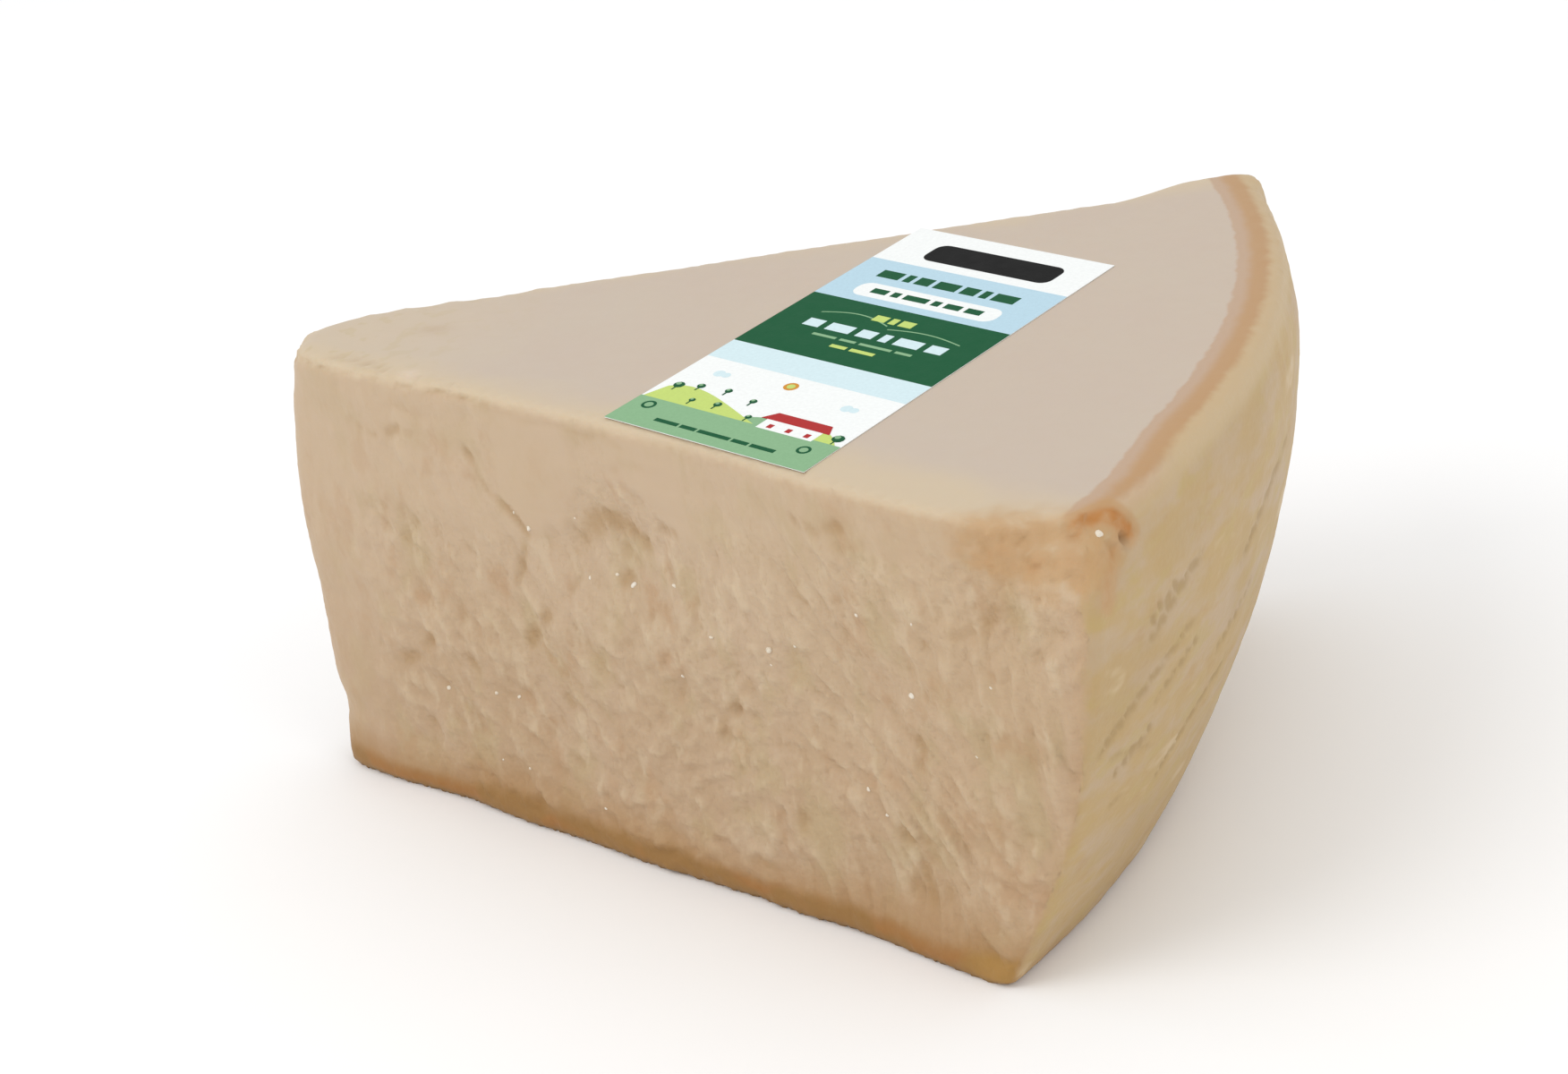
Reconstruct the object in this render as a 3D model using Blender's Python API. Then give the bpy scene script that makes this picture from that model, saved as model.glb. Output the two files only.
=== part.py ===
"""A chunk of hard grana-style cheese: an eighth of a wheel's half height, with a paper label on top.

The chunk is first shaped in the wheel's own frame: the wheel's axis is Z, the chunk's middle runs along +X
from the blunt tip to the rind, and the wheel's flat rind face lies at z = 0. Both pieces then move so that
the origin is the middle of the base. Lengths are in metres.
"""

import math

import bmesh
import bpy
from mathutils import Vector, noise

# The wheel and the cut
WHEEL_RADIUS = 0.220
CHUNK_HEIGHT = 0.095
WEDGE_ANGLE = math.radians(45)
HALF_ANGLE = WEDGE_ANGLE / 2

# The rind's barrel: how far the wheel narrows below and above its widest level
WIDEST_LEVEL = 0.85 * CHUNK_HEIGHT
BARREL_DROP = 0.026
BARREL_POWER = 1.75
SHOULDER_DROP = 0.0024

# Rounded corners of the outline, seen from above
TIP_RADIUS = 0.010
HEEL_CORNER_RADIUS = 0.0020

# The tip leans back: how far it is worn away at the top, and how far along the faces the wear reaches
TIP_LEAN = 0.0052
TIP_LEAN_FROM = 0.012
TIP_LEAN_REACH = 0.030

# Up the tip: a waist just over the base, a bulge in the upper half, and a worn shoulder under the top
TIP_WAIST = 0.0026
TIP_WAIST_LEVEL = 0.013
TIP_WAIST_REACH = 0.007
TIP_BULGE = 0.0024
TIP_BULGE_LEVEL = 0.066
TIP_BULGE_REACH = 0.018
TIP_SHOULDER = 0.0018
TIP_SHOULDER_FROM = 0.081
TIP_SHOULDER_TO = 0.088

# Rounded edges round the base and round the top, where the tip's is softer
BASE_EDGE = 0.0012
TOP_EDGE = 0.0015
TIP_TOP_EDGE = 0.0055
TIP_TOP_REACH = 0.024
EDGE_UNEVENNESS = 0.35
EDGE_WAVE_LENGTH = 0.011

# The front face: it overhangs towards the rind, spreads at the base there, and its top corner has broken off
FRONT_LIP = 0.0066
FRONT_LIP_FROM = 0.105
FRONT_LIP_TO = 0.195
FRONT_TOE = 0.0024
FRONT_TOE_FROM = 0.152
FRONT_TOE_TO = 0.185
FRONT_TOE_HEIGHT = 0.026
CHIP_DEPTH = 0.0055
CHIP_FROM = 0.2030
CHIP_TO = 0.2110
CHIP_HEIGHT = 0.016
CHIP_CORNER = 0.0085

# The back face: a step beside the rind stands proud of the rest
BACK_STEP = 0.0070
BACK_STEP_FROM = 0.189
BACK_STEP_TO = 0.206
BACK_STEP_AT_BASE = 0.35

# Slow waves of both faces, which were split along the grain and not sawn
WAVE_HEIGHT = 0.0016
WAVE_LENGTH = 0.024
CALM_AT_TOP = 0.35
CALM_DEPTH = 0.014

# Dished breaks in each face: distance from the wheel's axis, height, reach along, reach up, depth
FRONT_HOLLOWS = (
    (0.112, 0.068, 0.017, 0.013, 0.0024),
    (0.128, 0.040, 0.026, 0.012, 0.0016),
    (0.172, 0.050, 0.018, 0.020, 0.0018),
    (0.078, 0.026, 0.020, 0.012, 0.0015),
    (0.178, 0.018, 0.013, 0.010, 0.0019),
)
BACK_HOLLOWS = (
    (0.070, 0.050, 0.026, 0.022, 0.0022),
    (0.120, 0.066, 0.024, 0.012, 0.0020),
    (0.142, 0.028, 0.030, 0.014, 0.0024),
    (0.186, 0.058, 0.016, 0.018, 0.0020),
)
HOLLOW_FALLOFF = 1.4

# The paper label: a strip laid over the top from edge to edge, its ends cut on the slant
LABEL_LENGTH = 0.1028
LABEL_WIDTH = 0.0509
LABEL_THICKNESS = 0.0003
LABEL_GAP = 0.0003
LABEL_CENTRE = Vector((0.1437, -0.0043, 0))
LABEL_TURN = math.radians(71.2)
LABEL_END_TURN = math.radians(-27.4)

# Facets
FRONT_STEPS = 42
BACK_STEPS = 30
HEEL_STEPS = 18
CORNER_STEPS = 4
TIP_STEPS = 8
WALL_STEPS = 13
EDGE_STEPS = 4

# Finishes: colour, roughness
CHEESE_FINISH = ((0.80, 0.66, 0.47), 0.62)
LABEL_FINISH = ((0.86, 0.90, 0.86), 0.45)


def smoothstep(low, high, value):
    """0 below low, 1 above high, and a smooth rise between them."""
    share = min(1.0, max(0.0, (value - low) / (high - low)))
    return share * share * (3 - 2 * share)


def plan_direction(angle):
    return Vector((math.cos(angle), math.sin(angle), 0))


def heel_radius(level):
    """Radius of the wheel's side at a height above its flat face."""
    if level < WIDEST_LEVEL:
        below = (WIDEST_LEVEL - level) / WIDEST_LEVEL
        return WHEEL_RADIUS - BARREL_DROP * below**BARREL_POWER
    above = (level - WIDEST_LEVEL) / (CHUNK_HEIGHT - WIDEST_LEVEL)
    return WHEEL_RADIUS - SHOULDER_DROP * above**2


def hollow_depth(hollows, along, level):
    """Depth of the dished breaks at one place of a face."""
    depth = 0.0
    for centre, height, reach, rise, deepest in hollows:
        away = ((along - centre) / reach) ** 2 + ((level - height) / rise) ** 2
        depth += deepest * math.exp(-HOLLOW_FALLOFF * away)
    return depth


def face_wave(along, level, side):
    """The slow unevenness of a face, calmer just under the top, where the knife went in."""
    place = Vector((along / WAVE_LENGTH, level / WAVE_LENGTH, 7.3 * side))
    calm = smoothstep(0.0, CALM_DEPTH, CHUNK_HEIGHT - level)
    return WAVE_HEIGHT * noise.noise(place) * (CALM_AT_TOP + (1 - CALM_AT_TOP) * calm)


def face_offset(side, along, level):
    """How far a face stands out from its flat cutting plane. Side is -1 for the front and 1 for the back."""
    rise = level / CHUNK_HEIGHT
    wave = face_wave(along, level, side)
    if side < 0:
        lip = FRONT_LIP * smoothstep(FRONT_LIP_FROM, FRONT_LIP_TO, along) * rise**2
        chip = CHIP_DEPTH * smoothstep(CHIP_FROM, CHIP_TO, along) * chipped(level)
        toe = FRONT_TOE * smoothstep(FRONT_TOE_FROM, FRONT_TOE_TO, along)
        toe *= 1 - smoothstep(0.0, FRONT_TOE_HEIGHT, level)
        return lip + toe - chip - hollow_depth(FRONT_HOLLOWS, along, level) + wave
    share = BACK_STEP_AT_BASE + (1 - BACK_STEP_AT_BASE) * rise
    step = BACK_STEP * smoothstep(BACK_STEP_FROM, BACK_STEP_TO, along) * share
    return step - hollow_depth(BACK_HOLLOWS, along, level) + wave


def chipped(level):
    """How much of the front heel corner has broken off at a height: 1 at the top."""
    return smoothstep(CHUNK_HEIGHT - CHIP_HEIGHT, CHUNK_HEIGHT, level)


def edge_inset(radius, height):
    """Inset of a rounded edge at a height inside its flat face."""
    share = min(1.0, height / radius)
    return radius * (1 - math.sqrt(1 - (1 - share) ** 2))


def rim_inset(place, level):
    """Inset of the outline from the rounded edges of base and top."""
    uneven = 1 + EDGE_UNEVENNESS * noise.noise(place / EDGE_WAVE_LENGTH)
    near_tip = 1 - smoothstep(0.0, TIP_TOP_REACH, place.length - TIP_RADIUS)
    top_edge = TOP_EDGE + (TIP_TOP_EDGE - TOP_EDGE) * near_tip
    base = edge_inset(BASE_EDGE * uneven, level)
    return base + edge_inset(top_edge * uneven, CHUNK_HEIGHT - level)


def side_points(side, level):
    """One face of the uncarved outline and its heel corner: place, outward direction, side, share of the face."""
    tip_touch = TIP_RADIUS / math.tan(HALF_ANGLE)
    corner_radius = HEEL_CORNER_RADIUS + (CHIP_CORNER * chipped(level) if side < 0 else 0)
    reach = heel_radius(level) - corner_radius
    turn = HALF_ANGLE - math.asin(corner_radius / reach)
    face_end = reach * math.cos(HALF_ANGLE - turn)
    out_angle = math.pi / 2 + HALF_ANGLE
    steps = FRONT_STEPS if side < 0 else BACK_STEPS
    points = []
    for i in range(steps + 1):
        along = tip_touch + (face_end - tip_touch) * i / steps
        points.append((plan_direction(side * HALF_ANGLE) * along, plan_direction(side * out_angle), side, 1.0))
    for i in range(1, CORNER_STEPS):
        out = plan_direction(side * (out_angle + (turn - out_angle) * i / CORNER_STEPS))
        place = plan_direction(side * turn) * reach + out * corner_radius
        points.append((place, out, side, 1 - i / CORNER_STEPS))
    return points, side * turn


def heel_points(level, start, end):
    """The rind's stretch of the uncarved outline."""
    points = []
    for i in range(HEEL_STEPS + 1):
        out = plan_direction(start + (end - start) * i / HEEL_STEPS)
        points.append((out * heel_radius(level), out, 0, 0.0))
    return points


def tip_points():
    """The blunt tip of the uncarved outline, from the back face round to the front face."""
    centre = Vector((TIP_RADIUS / math.sin(HALF_ANGLE), 0, 0))
    start = math.pi / 2 + HALF_ANGLE
    sweep = math.pi - WEDGE_ANGLE
    points = []
    for i in range(1, TIP_STEPS):
        share = 1 - 2 * i / TIP_STEPS
        out = plan_direction(start + sweep * i / TIP_STEPS)
        points.append((centre + out * TIP_RADIUS, out, math.copysign(1, share), abs(share)))
    return points


def swell(level, centre, reach):
    """1 at a height, fading to 0 above and below it."""
    return math.exp(-(((level - centre) / reach) ** 2))


def lean(place, level):
    """How far the worn tip is set back towards the rind at one place."""
    near_tip = 1 - smoothstep(0.0, TIP_LEAN_REACH, place.length - TIP_RADIUS)
    slope = TIP_LEAN * smoothstep(TIP_LEAN_FROM, CHUNK_HEIGHT, level)
    shoulder = TIP_SHOULDER * smoothstep(TIP_SHOULDER_FROM, TIP_SHOULDER_TO, level)
    waist = TIP_WAIST * swell(level, TIP_WAIST_LEVEL, TIP_WAIST_REACH)
    bulge = TIP_BULGE * swell(level, TIP_BULGE_LEVEL, TIP_BULGE_REACH)
    return near_tip * (slope + shoulder + waist - bulge)


def outline(level):
    """The chunk's outline at one height, anticlockwise from the tip along the front face."""
    front, start = side_points(-1, level)
    back, end = side_points(1, level)
    carved = []
    for place, out, side, share in front + heel_points(level, start, end) + back[::-1] + tip_points():
        offset = share * face_offset(side, place.length, level) if share else 0.0
        moved = place + out * (offset - rim_inset(place, level))
        carved.append(Vector((moved.x + lean(place, level), moved.y, level)))
    return carved


def levels():
    """Heights of the outlines: close together at the rounded edges and even between them."""
    quarter = [1 - math.cos(math.pi / 2 * i / EDGE_STEPS) for i in range(EDGE_STEPS + 1)]
    low = [BASE_EDGE * share for share in quarter]
    high = [CHUNK_HEIGHT - TIP_TOP_EDGE * share for share in reversed(quarter)]
    gap = (high[0] - low[-1]) / WALL_STEPS
    return low + [low[-1] + gap * i for i in range(1, WALL_STEPS)] + high


def finish(name, colour, roughness):
    material = bpy.data.materials.new(name)
    material.use_nodes = True
    shader = material.node_tree.nodes["Principled BSDF"]
    shader.inputs["Base Color"].default_value = (*colour, 1.0)
    shader.inputs["Roughness"].default_value = roughness
    shader.inputs["Metallic"].default_value = 0.0
    return material


def add_object(name, bm, material):
    bmesh.ops.recalc_face_normals(bm, faces=bm.faces)
    mesh = bpy.data.meshes.new(name)
    bm.to_mesh(mesh)
    bm.free()
    mesh.materials.append(material)
    made = bpy.data.objects.new(name, mesh)
    bpy.context.scene.collection.objects.link(made)
    return made


def build_cheese():
    """The chunk as one solid: its outlines stacked from base to top and closed by two flat faces."""
    bm = bmesh.new()
    rings = [[bm.verts.new(point) for point in outline(level)] for level in levels()]
    for below, above in zip(rings, rings[1:]):
        for i, corner in enumerate(below):
            before = i - 1
            bm.faces.new((below[before], corner, above[i], above[before]))
    bm.faces.new(rings[0][::-1])
    bm.faces.new(rings[-1])
    cheese = add_object("cheese", bm, finish("cheese", *CHEESE_FINISH))
    cheese.data.shade_smooth()
    cheese.data.set_sharp_from_angle(angle=math.radians(40))
    return cheese


def build_label():
    """The label as a thin slanted strip, just clear of the top face."""
    along = plan_direction(LABEL_TURN) * LABEL_LENGTH / 2
    across = plan_direction(LABEL_END_TURN) * LABEL_WIDTH / 2
    floor = Vector((0, 0, CHUNK_HEIGHT + LABEL_GAP))
    corners = [LABEL_CENTRE + floor + along * u + across * v for u, v in ((-1, -1), (-1, 1), (1, 1), (1, -1))]
    bm = bmesh.new()
    face = bm.faces.new([bm.verts.new(corner) for corner in corners])
    raised = bmesh.ops.extrude_face_region(bm, geom=[face])
    top = [part for part in raised["geom"] if isinstance(part, bmesh.types.BMVert)]
    bmesh.ops.translate(bm, verts=top, vec=(0, 0, LABEL_THICKNESS))
    return add_object("label", bm, finish("label_paper", *LABEL_FINISH))


def centre_on_base(cheese, pieces):
    """Moves the pieces so that the middle of the chunk's bounding box, seen from above, is the origin."""
    xs = [vertex.co.x for vertex in cheese.data.vertices]
    ys = [vertex.co.y for vertex in cheese.data.vertices]
    middle = Vector(((min(xs) + max(xs)) / 2, (min(ys) + max(ys)) / 2, 0))
    for piece in pieces:
        piece.location = -middle


def main():
    for old in list(bpy.data.objects):
        bpy.data.objects.remove(old)
    cheese = build_cheese()
    label = build_label()
    centre_on_base(cheese, (cheese, label))


main()
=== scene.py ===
"""Looks of a chunk of hard grana-style cheese with a paper label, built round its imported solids.

The chunk's solids set every size. Places on the cheese are given in the wheel's own frame, whose axis stands
where WHEEL_AXIS says, by a distance from that axis, an angle or an arc along the rind, and a height.
Lengths are in metres.
"""

import math
import random

import bmesh
import bpy
import numpy as np
from mathutils import Matrix, Quaternion, Vector, noise
from mathutils.bvhtree import BVHTree


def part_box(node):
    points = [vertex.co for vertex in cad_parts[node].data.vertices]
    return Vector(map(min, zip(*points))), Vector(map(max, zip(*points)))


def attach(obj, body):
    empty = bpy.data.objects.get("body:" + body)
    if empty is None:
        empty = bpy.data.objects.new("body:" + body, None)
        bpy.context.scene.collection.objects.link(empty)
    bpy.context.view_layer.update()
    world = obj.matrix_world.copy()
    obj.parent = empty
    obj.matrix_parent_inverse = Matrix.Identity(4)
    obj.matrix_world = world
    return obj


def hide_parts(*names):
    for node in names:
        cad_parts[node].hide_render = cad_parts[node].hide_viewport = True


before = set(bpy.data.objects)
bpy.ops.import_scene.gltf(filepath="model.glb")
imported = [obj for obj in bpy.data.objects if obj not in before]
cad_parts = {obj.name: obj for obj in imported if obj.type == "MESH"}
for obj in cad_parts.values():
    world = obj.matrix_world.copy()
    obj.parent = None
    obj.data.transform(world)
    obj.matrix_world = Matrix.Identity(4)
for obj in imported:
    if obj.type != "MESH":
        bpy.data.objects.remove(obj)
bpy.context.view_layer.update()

bl_info = {
    "name": "Cheese Chunk",
    "version": (1, 0, 0),
    "blender": (4, 5, 0),
    "location": "View3D > Sidebar > Cheese",
    "description": "Finishes a chunk of hard cheese, its crystals and its paper label, and lights it",
    "category": "Object",
}

CHEESE_LOW, CHEESE_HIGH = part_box("cheese")
LABEL_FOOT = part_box("label")[0].z
HEIGHT = CHEESE_HIGH.z

# The wheel that the chunk was cut from, in the chunk's frame
WHEEL_AXIS = Vector((-0.11811, -0.00104, 0.0))
WHEEL_RADIUS = 0.220
HALF_ANGLE = math.radians(22.5)
WIDEST_LEVEL = 0.85 * HEIGHT
BARREL_DROP = 0.026
BARREL_POWER = 1.75
SHOULDER_DROP = 0.0024

MM = 0.001


# ---------------------------------------------------------------- user settings


class CheeseLook(bpy.types.PropertyGroup):
    """Sizes and colours of the cheese."""

    mesh_step: bpy.props.FloatProperty(
        name="Mesh step", description="Facets; those of the split faces are half as wide",
        default=0.00165, unit="LENGTH"
    )
    split_depth: bpy.props.FloatProperty(
        name="Split depth", description="Depth of the flakes on the split faces",
        default=0.0009, unit="LENGTH"
    )
    grain_size: bpy.props.FloatProperty(
        name="Grain size", description="Width of one grain of the split faces", default=0.0027, unit="LENGTH"
    )
    grain_depth: bpy.props.FloatProperty(
        name="Grain depth", description="Depth between the grains", default=0.00045, unit="LENGTH"
    )
    top_colour: bpy.props.FloatVectorProperty(
        name="Cut top", description="Paste where the wire cut it smooth", subtype="COLOR",
        default=(0.505, 0.42, 0.335)
    )
    paste_colour: bpy.props.FloatVectorProperty(
        name="Paste", description="Paste of the split faces", subtype="COLOR", default=(0.50, 0.372, 0.245)
    )
    deep_colour: bpy.props.FloatVectorProperty(
        name="Lower paste", description="Paste near the base", subtype="COLOR", default=(0.425, 0.290, 0.172)
    )
    # Cream: light flecks, and the painted highlight on the relief's crests and on the cuts' rounded edges
    cream_colour: bpy.props.FloatVectorProperty(
        name="Cream", description="Light crests and the cut's edges", subtype="COLOR",
        default=(0.60, 0.485, 0.335)
    )
    # Ochre: the stains and creases, and the painted shade in the relief's hollows
    ochre_colour: bpy.props.FloatVectorProperty(
        name="Ochre", description="Shaded hollows", subtype="COLOR", default=(0.365, 0.225, 0.10)
    )
    rind_colour: bpy.props.FloatVectorProperty(
        name="Rind", description="Outside of the rind", subtype="COLOR", default=(0.45, 0.31, 0.14)
    )
    band_colour: bpy.props.FloatVectorProperty(
        name="Rind band", description="Rind where the cut shows it", subtype="COLOR",
        default=(0.435, 0.255, 0.115)
    )
    # Painted shade along the base's edge, where it meets the floor
    base_shade_colour: bpy.props.FloatVectorProperty(
        name="Brown rind", description="Dried rind along the base", subtype="COLOR",
        default=(0.25, 0.135, 0.045)
    )
    chip_colour: bpy.props.FloatVectorProperty(
        name="Chip", description="Broken corner of the rind", subtype="COLOR", default=(0.42, 0.17, 0.034)
    )


class LabelLook(bpy.types.PropertyGroup):
    """Sizes and inks of the paper label."""

    sheet_thickness: bpy.props.FloatProperty(
        name="Sheet thickness", description="Thickness of the paper", default=0.00012, unit="LENGTH"
    )
    ink_thickness: bpy.props.FloatProperty(
        name="Ink thickness", description="Rise of each printed layer", default=0.000015, unit="LENGTH"
    )
    paper: bpy.props.FloatVectorProperty(
        name="Paper", description="Unprinted paper", subtype="COLOR", default=(0.86, 0.88, 0.87)
    )
    pale_blue: bpy.props.FloatVectorProperty(
        name="Pale blue", description="Sky bands", subtype="COLOR", default=(0.47, 0.65, 0.75)
    )
    mist: bpy.props.FloatVectorProperty(
        name="Mist", description="Stripe under the green field", subtype="COLOR", default=(0.63, 0.78, 0.82)
    )
    dark_green: bpy.props.FloatVectorProperty(
        name="Dark green", description="Main field", subtype="COLOR", default=(0.013, 0.098, 0.041)
    )
    light_green: bpy.props.FloatVectorProperty(
        name="Light green", description="Meadow field", subtype="COLOR", default=(0.25, 0.44, 0.25)
    )
    lime: bpy.props.FloatVectorProperty(
        name="Lime", description="Hills", subtype="COLOR", default=(0.53, 0.66, 0.18)
    )
    black: bpy.props.FloatVectorProperty(
        name="Black", description="Plate and small marks", subtype="COLOR", default=(0.012, 0.012, 0.012)
    )
    red: bpy.props.FloatVectorProperty(
        name="Red", description="Barn roof", subtype="COLOR", default=(0.42, 0.035, 0.035)
    )
    orange: bpy.props.FloatVectorProperty(
        name="Orange", description="Sun", subtype="COLOR", default=(0.62, 0.28, 0.045)
    )


class StudioLook(bpy.types.PropertyGroup):
    """Floor, light and camera."""

    floor_colour: bpy.props.FloatVectorProperty(
        name="Floor", description="Plain pale floor", subtype="COLOR", default=(0.93, 0.93, 0.93)
    )
    floor_size: bpy.props.FloatProperty(
        name="Floor size", description="Side of the floor", default=8.0, unit="LENGTH"
    )
    sky_strength: bpy.props.FloatProperty(
        name="Sky strength", description="Even light from all round", default=0.96
    )
    key_power: bpy.props.FloatProperty(
        name="Key power", description="Power of the large soft light in watts", default=8.6
    )
    camera_turn: bpy.props.FloatProperty(
        name="Camera turn", description="Camera's angle round the chunk",
        default=math.radians(20.83), subtype="ANGLE"
    )
    camera_rise: bpy.props.FloatProperty(
        name="Camera rise", description="Camera's angle above the floor",
        default=math.radians(24.287), subtype="ANGLE"
    )
    camera_roll: bpy.props.FloatProperty(
        name="Camera roll", description="Camera's turn about its own view",
        default=math.radians(-8.0076), subtype="ANGLE"
    )
    camera_distance: bpy.props.FloatProperty(
        name="Camera distance", description="Distance to the chunk's middle", default=0.60345, unit="LENGTH"
    )
    camera_lens: bpy.props.FloatProperty(
        name="Lens", description="Focal length in millimetres on a 36 mm sensor", default=70.116
    )


# ---------------------------------------------------------------- shared helpers


def smoothstep(low, high, value):
    share = np.clip((value - low) / (high - low), 0.0, 1.0)
    return share * share * (3 - 2 * share)


def plan_direction(angle):
    return Vector((math.cos(angle), math.sin(angle), 0.0))


def cut_direction(side):
    """Outward direction of the front cut (side -1) or the back cut (side 1)."""
    return plan_direction(side * (math.pi / 2 + HALF_ANGLE))


def lumps(places, size, octaves=3, seed=0.0):
    """Soft noise between about -1 and 1 at each place; its largest lumps have the given size."""
    shift = Vector((seed, 1.7 * seed, -seed))
    return np.array([noise.fractal(Vector(p) + shift, 1.0, 2.0, octaves) for p in places / size])


def grains(places, size, seed=0.0):
    """1 at the middle of each grain, falling to about 0 between grains."""
    shift = Vector((seed, 1.7 * seed, -seed))
    nearest = [noise.voronoi(Vector(p) + shift)[0][0] for p in places / size]
    return 1 - np.clip(np.array(nearest), 0.0, 1.0) ** 2


def terraces(values, softness=0.3):
    """Turns a smooth field into flat treads with short slopes between them."""
    tread = np.floor(values)
    return tread + smoothstep(0.0, softness, values - tread)


def blob(along, level, centre, height, reach, rise):
    """1 at a place of a face, fading to 0 at about reach and rise from it."""
    return np.exp(-1.6 * (((along - centre) / reach) ** 2 + ((level - height) / rise) ** 2))


def link_object(made):
    bpy.context.scene.collection.objects.link(made)
    return made


def mesh_object(name, bm, materials):
    """Turns a bmesh into an object with its materials."""
    mesh = bpy.data.meshes.new(name)
    bm.to_mesh(mesh)
    bm.free()
    for material in materials:
        mesh.materials.append(material)
    return link_object(bpy.data.objects.new(name, mesh))


# ---------------------------------------------------------------- shader helpers


class Shader:
    """Short words for placing nodes in a material or a group."""

    def __init__(self, tree):
        self.tree = tree

    def node(self, kind, **settings):
        made = self.tree.nodes.new(kind)
        for name, value in settings.items():
            setattr(made, name, value)
        return made

    def feed(self, socket, value):
        if isinstance(value, bpy.types.NodeSocket):
            self.tree.links.new(value, socket)
        elif value is not None:
            socket.default_value = value

    def attribute(self, name):
        return self.node("ShaderNodeAttribute", attribute_name=name).outputs["Fac"]

    def position(self):
        return self.node("ShaderNodeTexCoord").outputs["Object"]

    def math(self, operation, first, second=None, third=None):
        made = self.node("ShaderNodeMath", operation=operation)
        for socket, value in zip(made.inputs, (first, second, third)):
            self.feed(socket, value)
        return made.outputs[0]

    def step(self, low, high, value):
        made = self.node("ShaderNodeMapRange", interpolation_type="SMOOTHSTEP")
        self.feed(made.inputs["Value"], value)
        made.inputs["From Min"].default_value = low
        made.inputs["From Max"].default_value = high
        return made.outputs["Result"]

    def mix(self, factor, first, second):
        made = self.node("ShaderNodeMix", data_type="RGBA")
        self.feed(made.inputs["Factor"], factor)
        for socket, value in ((made.inputs["A"], first), (made.inputs["B"], second)):
            self.feed(socket, value)
        return made.outputs["Result"]

    def noise(self, vector, size, detail=2.0, roughness=0.5):
        made = self.node("ShaderNodeTexNoise")
        self.feed(made.inputs["Vector"], vector)
        made.inputs["Scale"].default_value = 1 / size
        made.inputs["Detail"].default_value = detail
        made.inputs["Roughness"].default_value = roughness
        return made.outputs["Fac"]

    def stretched(self, vector, turn, scale):
        made = self.node("ShaderNodeMapping")
        self.feed(made.inputs["Vector"], vector)
        made.inputs["Rotation"].default_value = turn
        made.inputs["Scale"].default_value = scale
        return made.outputs["Vector"]

    def group(self, tree, **inputs):
        made = self.node("ShaderNodeGroup", node_tree=tree)
        for name, value in inputs.items():
            self.feed(made.inputs[name.replace("_", " ").capitalize()], value)
        return made

    def share(self, value, part):
        return self.math("MULTIPLY", value, part)

    def bump(self, height, distance):
        made = self.node("ShaderNodeBump")
        made.inputs["Distance"].default_value = distance
        self.feed(made.inputs["Height"], height)
        return made.outputs["Normal"]


def new_group(name, inputs, outputs):
    """An empty shader group with float or vector inputs and float outputs."""
    tree = bpy.data.node_groups.new(name, "ShaderNodeTree")
    for label, kind, value in inputs:
        socket = tree.interface.new_socket(label, in_out="INPUT", socket_type=kind)
        if value is not None:
            socket.default_value = value
    for label in outputs:
        tree.interface.new_socket(label, in_out="OUTPUT", socket_type="NodeSocketFloat")
    shader = Shader(tree)
    return shader, shader.node("NodeGroupInput").outputs, shader.node("NodeGroupOutput").inputs


def mottle_group():
    """Patches in two sizes, for uneven colour: Broad and Fine, each from 0 to 1."""
    found = bpy.data.node_groups.get("mottle")
    if found:
        return found
    shader, given, out = new_group(
        "mottle",
        (
            ("Vector", "NodeSocketVector", None),
            ("Patch size", "NodeSocketFloat", 0.01),
            ("Contrast", "NodeSocketFloat", 2.0),
        ),
        ("Broad", "Fine"),
    )
    for label, share, detail in (("Broad", 1.0, 2.0), ("Fine", 0.22, 3.0)):
        texture = shader.node("ShaderNodeTexNoise")
        size = shader.math("MULTIPLY", given["Patch size"], share)
        shader.feed(texture.inputs["Scale"], shader.math("DIVIDE", 1.0, size))
        shader.feed(texture.inputs["Vector"], given["Vector"])
        texture.inputs["Detail"].default_value = detail
        centred = shader.math("SUBTRACT", texture.outputs["Fac"], 0.5)
        raised = shader.math("MULTIPLY_ADD", centred, given["Contrast"], 0.5)
        shader.feed(out[label], shader.math("MINIMUM", shader.math("MAXIMUM", raised, 0.0), 1.0))
    return shader.tree


def grit_group():
    """Fine grit for bump: a height made of small grains and of finer noise."""
    found = bpy.data.node_groups.get("grit")
    if found:
        return found
    shader, given, out = new_group(
        "grit",
        (
            ("Vector", "NodeSocketVector", None),
            ("Grain size", "NodeSocketFloat", 0.001),
            ("Amount", "NodeSocketFloat", 1.0),
        ),
        ("Height",),
    )
    scale = shader.math("DIVIDE", 1.0, given["Grain size"])
    cells = shader.node("ShaderNodeTexVoronoi", feature="SMOOTH_F1")
    cells.inputs["Smoothness"].default_value = 0.5
    shader.feed(cells.inputs["Vector"], given["Vector"])
    shader.feed(cells.inputs["Scale"], scale)
    fine = shader.node("ShaderNodeTexNoise")
    fine.inputs["Detail"].default_value = 3.0
    shader.feed(fine.inputs["Vector"], given["Vector"])
    shader.feed(fine.inputs["Scale"], shader.math("MULTIPLY", scale, 2.0))
    grain = shader.math("SUBTRACT", 1.0, cells.outputs["Distance"])
    height = shader.math("MULTIPLY_ADD", fine.outputs["Fac"], 0.6, grain)
    shader.feed(out["Height"], shader.math("MULTIPLY", height, given["Amount"]))
    return shader.tree


def new_material(name, roughness):
    """A material with its shader helper and its Principled node."""
    material = bpy.data.materials.new(name)
    material.use_nodes = True
    principled = material.node_tree.nodes["Principled BSDF"]
    principled.inputs["Roughness"].default_value = roughness
    return material, Shader(material.node_tree), principled


def rgba(colour):
    return (*colour, 1.0)


# ---------------------------------------------------------------- the cheese's shape

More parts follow.
